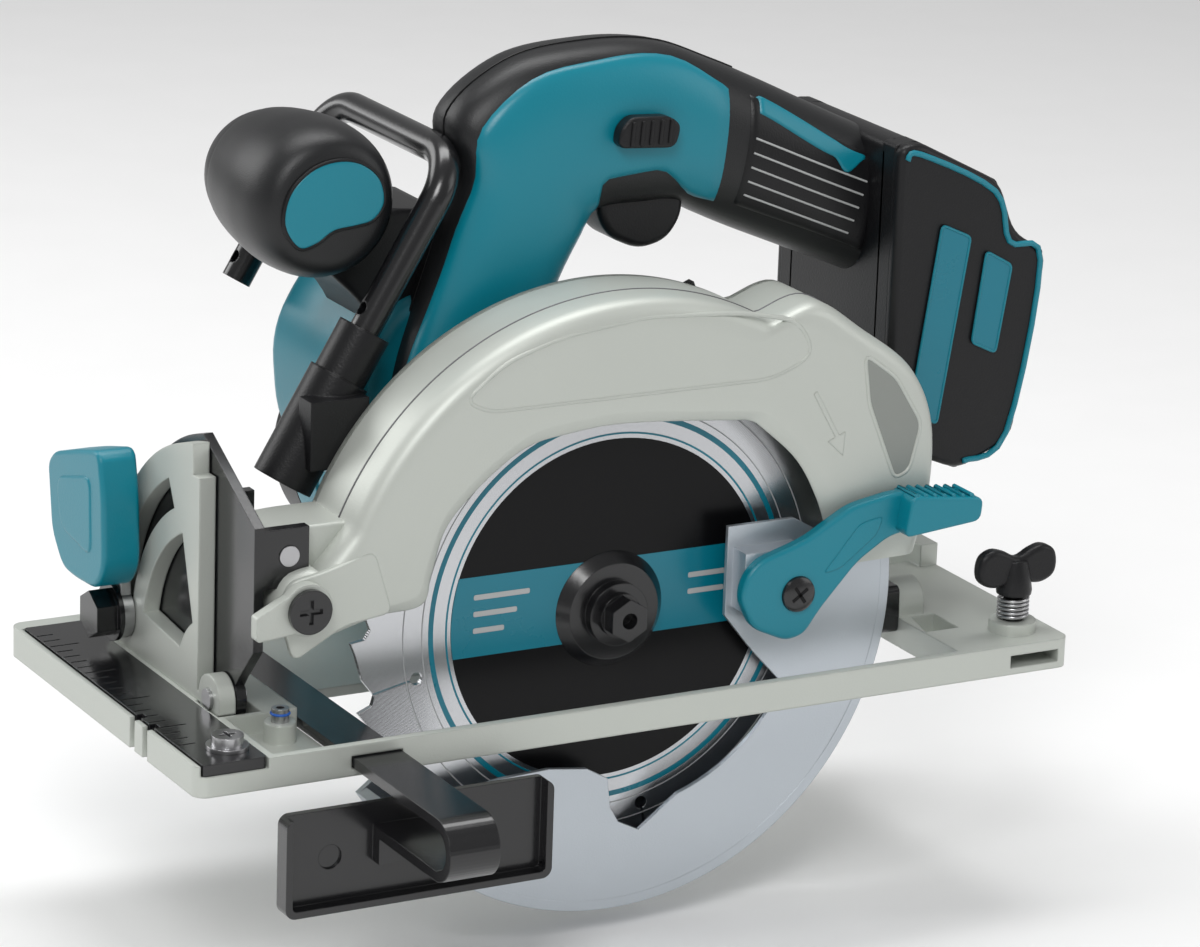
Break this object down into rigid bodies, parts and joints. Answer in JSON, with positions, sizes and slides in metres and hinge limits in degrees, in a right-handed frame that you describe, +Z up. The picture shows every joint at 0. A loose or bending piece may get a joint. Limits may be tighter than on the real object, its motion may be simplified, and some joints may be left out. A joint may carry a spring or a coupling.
{
  "type": "circular saw",
  "caption": "Cordless circular saw with tilting shoe, sprung lower guard, D-handle, front grip, rip fence and hanging hook.",
  "frame": {"origin": "on the sole of the shoe, in the blade's plane, straight below the arbor", "axes": "+X to the rear of the saw, +Y to the motor side, +Z up from the sole"},
  "size_m": [0.2956, 0.226, 0.2475],
  "materials": {
    "shoe_alloy": "bead-blasted",
    "guard_alloy": "satin",
    "gear_alloy": "cast",
    "black_steel": "satin black",
    "bright_steel": "turned",
    "blade_steel": "ground",
    "teal_plastic": "moulded",
    "black_plastic": "fine texture",
    "soft_rubber": "soft touch",
    "motor_iron": "laminated",
    "fan_plastic": "moulded"
  },
  "bodies": {
    "base": {"shoe": "shoe_alloy", "scale_plate": "black_steel", "scale_screw": "bright_steel", "bevel_bracket": "shoe_alloy", "bevel_pins": "bright_steel", "stop_screw": "bright_steel", "wing_spring": "bright_steel"},
    "wing": {"wing_bolt": "black_steel"},
    "fence": {"rip_fence": "black_steel"},
    "tilt": {"tilt_frame": "black_steel", "depth_guide": "black_steel", "bevel_clamp_bolt": "black_steel"},
    "bevel_lever": {"bevel_lever_arm": "bright_steel", "bevel_lever_knob": "teal_plastic"},
    "saw": {"blade_case": "shoe_alloy", "depth_pin": "bright_steel", "gear_cover": "gear_alloy", "motor_housing": "teal_plastic", "motor_cap": "black_plastic", "stator": "motor_iron", "motor_bearings": "bright_steel", "spindle_bearings": "bright_steel", "handle_left": "teal_plastic", "handle_right": "teal_plastic", "grip_rubber": "soft_rubber", "side_panel": "teal_plastic", "housing_screws": "bright_steel", "front_arm": "black_plastic", "front_grip": "soft_rubber", "grip_inlays": "teal_plastic", "battery_mount": "black_plastic", "mount_badges": "teal_plastic", "terminal_block": "black_plastic", "switch_body": "black_plastic", "controller": "black_plastic", "hook_holder": "black_plastic", "stopper_screw": "black_steel", "guard_spring": "bright_steel"},
    "hook": {"hook_rod": "black_steel"},
    "depth_lever": {"depth_lever": "black_steel"},
    "stopper": {"positive_stopper": "shoe_alloy"},
    "guard": {"lower_guard": "guard_alloy", "retract_lever": "teal_plastic", "retract_screw": "bright_steel"},
    "arbor": {"spindle": "bright_steel", "drive_gear": "bright_steel", "inner_flange": "black_steel", "blade": "blade_steel", "outer_flange": "black_steel", "blade_bolt": "black_steel"},
    "motor": {"rotor": "motor_iron", "motor_shaft": "bright_steel", "fan": "fan_plastic"},
    "trigger": {"trigger": "black_plastic"},
    "lock_off": {"lock_off": "black_plastic"},
    "shaft_lock": {"shaft_lock": "black_plastic"}
  },
  "joints": [
    {"name": "bevel_tilt", "type": "hinge", "parent": "base", "child": "tilt", "pos_m": [-0.116, 0.008, 0.012], "axis": [1, 0, 0], "range_deg": [0, 50]},
    {"name": "depth_swing", "type": "hinge", "parent": "tilt", "child": "saw", "pos_m": [-0.106, 0, 0.057], "axis": [0, -1, 0], "range_deg": [0, 30]},
    {"name": "guard_swing", "type": "hinge", "parent": "saw", "child": "guard", "pos_m": [0, 0, 0.0255], "axis": [0, -1, 0], "range_deg": [0, 105], "stiffness_Nm_per_rad": 0.12, "springref_deg": -68.75},
    {"name": "blade_spin", "type": "hinge", "parent": "saw", "child": "arbor", "pos_m": [0, 0, 0.0255], "axis": [0, 1, 0], "continuous": true},
    {"name": "motor_spin", "type": "hinge", "parent": "saw", "child": "motor", "pos_m": [-0.011, 0, 0.0425], "axis": [0, 1, 0], "continuous": true},
    {"name": "wing_turn", "type": "hinge", "parent": "base", "child": "wing", "pos_m": [0.1255, -0.022, 0.02], "axis": [0, 0, 1], "range_deg": [-180, 180]},
    {"name": "fence_slide", "type": "slide", "parent": "base", "child": "fence", "axis": [0, -1, 0], "range_m": [-0.028, 0.06]},
    {"name": "bevel_lever_turn", "type": "hinge", "parent": "tilt", "child": "bevel_lever", "pos_m": [-0.122, 0.06643, 0.02021], "axis": [1, 0, 0], "range_deg": [-40, 40]},
    {"name": "hook_swing", "type": "hinge", "parent": "saw", "child": "hook", "pos_m": [-0.091, 0.028, 0.066], "axis": [0.5115, 0, 0.8593], "range_deg": [0, 90]},
    {"name": "depth_lever_turn", "type": "hinge", "parent": "saw", "child": "depth_lever", "pos_m": [0.03583, 0.022, 0.02685], "axis": [0, 1, 0], "range_deg": [-30, 60]},
    {"name": "stopper_turn", "type": "hinge", "parent": "saw", "child": "stopper", "pos_m": [-0.104, -0.015, 0.0435], "axis": [0, 1, 0], "range_deg": [-20, 40]},
    {"name": "trigger_pull", "type": "slide", "parent": "saw", "child": "trigger", "axis": [0, 0, 1], "range_m": [0, 0.005], "stiffness_N_per_m": 800, "springref_m": -0.003},
    {"name": "lock_off_push", "type": "slide", "parent": "saw", "child": "lock_off", "axis": [0, 0, -1], "range_m": [0, 0.003], "stiffness_N_per_m": 600, "springref_m": -0.003},
    {"name": "shaft_lock_press", "type": "slide", "parent": "saw", "child": "shaft_lock", "axis": [-1, 0, 0], "range_m": [0, 0.0026], "stiffness_N_per_m": 800, "springref_m": -0.002}
  ],
  "couplings": [
    {"joint": "motor_spin", "follows": "blade_spin", "ratio": -5.4286}
  ]
}
